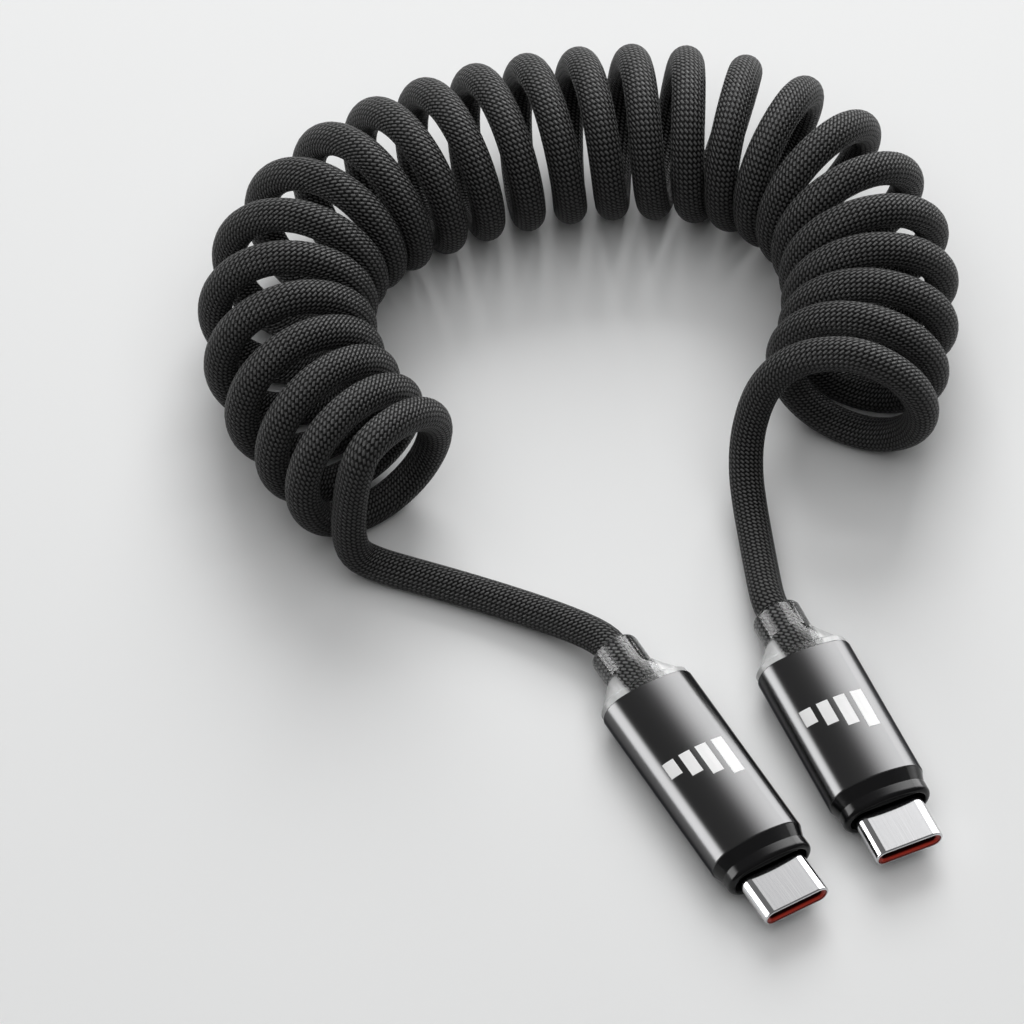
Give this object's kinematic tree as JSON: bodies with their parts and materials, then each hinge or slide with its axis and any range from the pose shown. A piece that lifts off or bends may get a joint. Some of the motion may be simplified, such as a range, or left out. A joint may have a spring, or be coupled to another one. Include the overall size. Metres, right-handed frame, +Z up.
{
  "type": "coiled usb-c charging cable",
  "caption": "Braided charging cord wound as a spring coil in a horseshoe, with a flat reversible plug on the lead at each end.",
  "frame": {"origin": "on the surface that the cable lies on, in the middle of the box round the two plugs", "axes": "+Z up from the surface, +X across the horseshoe to its plug B side, +Y from the plugs back to the coil's bend"},
  "size_m": [0.0885, 0.1174, 0.0208],
  "materials": {
    "cord_braid": "charcoal nylon braid",
    "housing_metal": "dark gunmetal gloss",
    "clear_plastic": "clear moulded plastic",
    "black_plastic": "black satin gloss",
    "shell_steel": "bright polished steel",
    "red_plastic": "red moulded plastic",
    "contact_gold": "gold plated",
    "spring_steel": "stamped steel",
    "board_green": "solder mask",
    "chip_black": "moulded chip package",
    "wire_jacket": "coloured wire insulation",
    "core_plastic": "off-white moulded core"
  },
  "bodies": {
    "root": {"coiled_cord": "cord_braid", "lead_a": "cord_braid", "lead_b": "cord_braid", "housing_a": "housing_metal", "housing_b": "housing_metal", "clear_end_a": "clear_plastic", "clear_end_b": "clear_plastic", "nose_a": "black_plastic", "nose_b": "black_plastic", "shell_a": "shell_steel", "shell_b": "shell_steel", "insulator_a": "red_plastic", "insulator_b": "red_plastic", "contacts_upper_a": "contact_gold", "contacts_upper_b": "contact_gold", "contacts_lower_a": "contact_gold", "contacts_lower_b": "contact_gold", "latch_plate_a": "spring_steel", "latch_plate_b": "spring_steel", "ground_springs_a": "spring_steel", "ground_springs_b": "spring_steel", "paddle_card_a": "board_green", "paddle_card_b": "board_green", "emarker_chip_a": "chip_black", "wires_a": "wire_jacket", "wires_b": "wire_jacket", "inner_mould_a": "core_plastic", "inner_mould_b": "core_plastic"}
  },
  "joints": []
}
